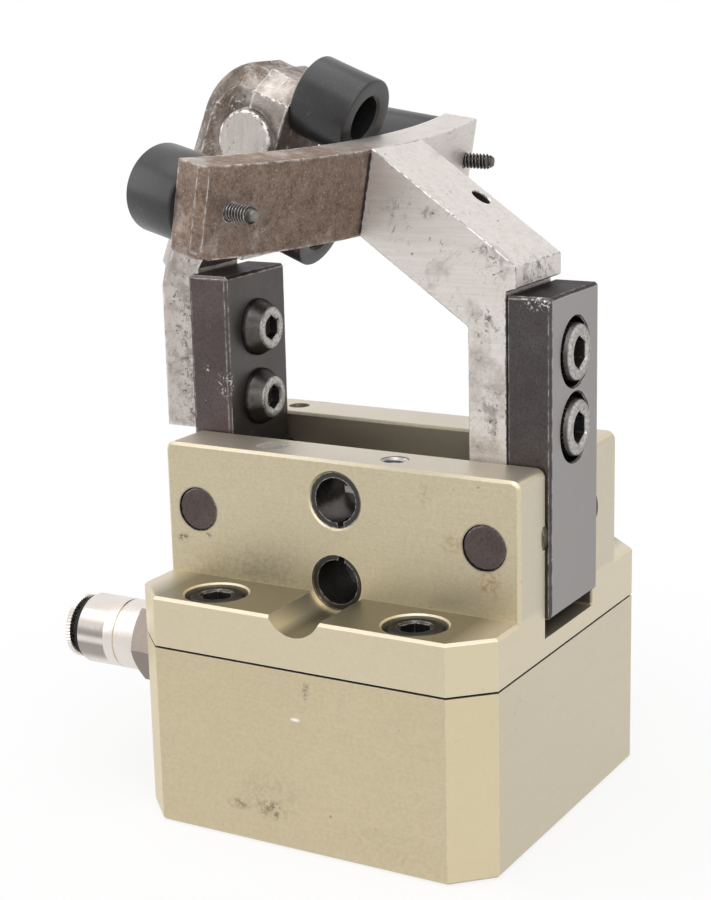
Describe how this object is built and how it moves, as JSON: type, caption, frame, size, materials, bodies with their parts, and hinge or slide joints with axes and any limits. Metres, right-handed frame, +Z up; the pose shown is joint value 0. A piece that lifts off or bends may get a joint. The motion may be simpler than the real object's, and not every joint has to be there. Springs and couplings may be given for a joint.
{
  "type": "pneumatic angular gripper",
  "caption": "Pneumatic angular gripper: square anodised cylinder housing, slotted guide walls, pivoting steel jaws and fabricated fingers that carry round bumpers.",
  "frame": {"origin": "centre of the square mounting face under the cylinder block", "axes": "+X along the jaws towards the jaw with the curved bar, +Z up the stroke of the piston, the air ports at -X"},
  "size_m": [0.0966, 0.0904, 0.1328],
  "materials": {
    "housing_anodised": "satin hard-anodised, olive champagne",
    "gasket_black": "matte",
    "oxide_screw": "black oxide, bright worn rims",
    "oxide_pin": "black oxide",
    "sleeve_steel": "dark spring steel",
    "seal_rubber": "matte",
    "bush_bronze": "turned bronze",
    "nickel": "bright nickel plate",
    "ring_plastic": "black",
    "piston_aluminium": "turned",
    "rod_chrome": "hard chrome",
    "drive_steel": "ground tool steel",
    "jaw_oxide": "black oxide, bright worn edges",
    "finger_steel": "bare machined steel, scratched and pitted",
    "bar_steel": "bare steel with a brown patina",
    "bumper_black": "matte charcoal elastomer",
    "stud_steel": "rolled thread"
  },
  "bodies": {
    "housing": {"cylinder_block": "housing_anodised", "guide_flange": "housing_anodised", "front_wall": "housing_anodised", "rear_wall": "housing_anodised", "body_gasket": "gasket_black", "body_screws": "oxide_screw", "pivot_pin_left": "oxide_pin", "pivot_pin_right": "oxide_pin", "upper_sleeves": "sleeve_steel", "lower_sleeves": "sleeve_steel", "pin_lock_screws": "oxide_screw", "thrust_washers": "drive_steel", "rod_bush": "bush_bronze", "rod_seal": "seal_rubber", "spigot_ring": "seal_rubber", "fitting_body": "nickel", "fitting_washer": "seal_rubber", "fitting_tube_seal": "seal_rubber", "fitting_end_ring": "ring_plastic"},
    "release_collar": {"release_collar": "nickel"},
    "piston": {"piston": "piston_aluminium", "piston_seal": "seal_rubber", "guide_ring": "ring_plastic", "piston_rod": "rod_chrome", "piston_nut": "oxide_screw", "drive_block": "drive_steel", "drive_pins": "oxide_pin"},
    "right_jaw": {"right_jaw": "jaw_oxide", "right_jaw_bush": "bush_bronze", "right_finger": "finger_steel", "right_finger_screws": "oxide_screw", "arc_bar": "bar_steel", "front_bumper": "bumper_black", "rear_bumper": "bumper_black", "front_stud": "stud_steel", "rear_stud": "stud_steel"},
    "left_jaw": {"left_jaw": "jaw_oxide", "left_jaw_bush": "bush_bronze", "left_finger": "finger_steel", "left_finger_screws": "oxide_screw", "bumper_plate": "finger_steel", "cross_pin": "finger_steel", "upper_bumper": "bumper_black", "lower_bumper": "bumper_black", "left_bumper_screws": "oxide_screw"}
  },
  "joints": [
    {"name": "right_jaw_pivot", "type": "hinge", "parent": "housing", "child": "right_jaw", "pos_m": [0.0285, 0, 0.0541], "axis": [0, 1, 0], "range_deg": [0, 15]},
    {"name": "left_jaw_pivot", "type": "hinge", "parent": "housing", "child": "left_jaw", "pos_m": [-0.0285, 0, 0.0541], "axis": [0, -1, 0], "range_deg": [0, 15]},
    {"name": "piston_slide", "type": "slide", "parent": "housing", "child": "piston", "axis": [0, 0, 1], "range_m": [0, 0.00593]},
    {"name": "release_collar_slide", "type": "slide", "parent": "housing", "child": "release_collar", "axis": [1, 0, 0], "range_m": [0, 0.0008], "stiffness_N_per_m": 500}
  ],
  "couplings": [
    {"joint": "left_jaw_pivot", "follows": "right_jaw_pivot", "ratio": 1},
    {"joint": "piston_slide", "follows": "right_jaw_pivot", "m_per_rad": 0.022629}
  ]
}
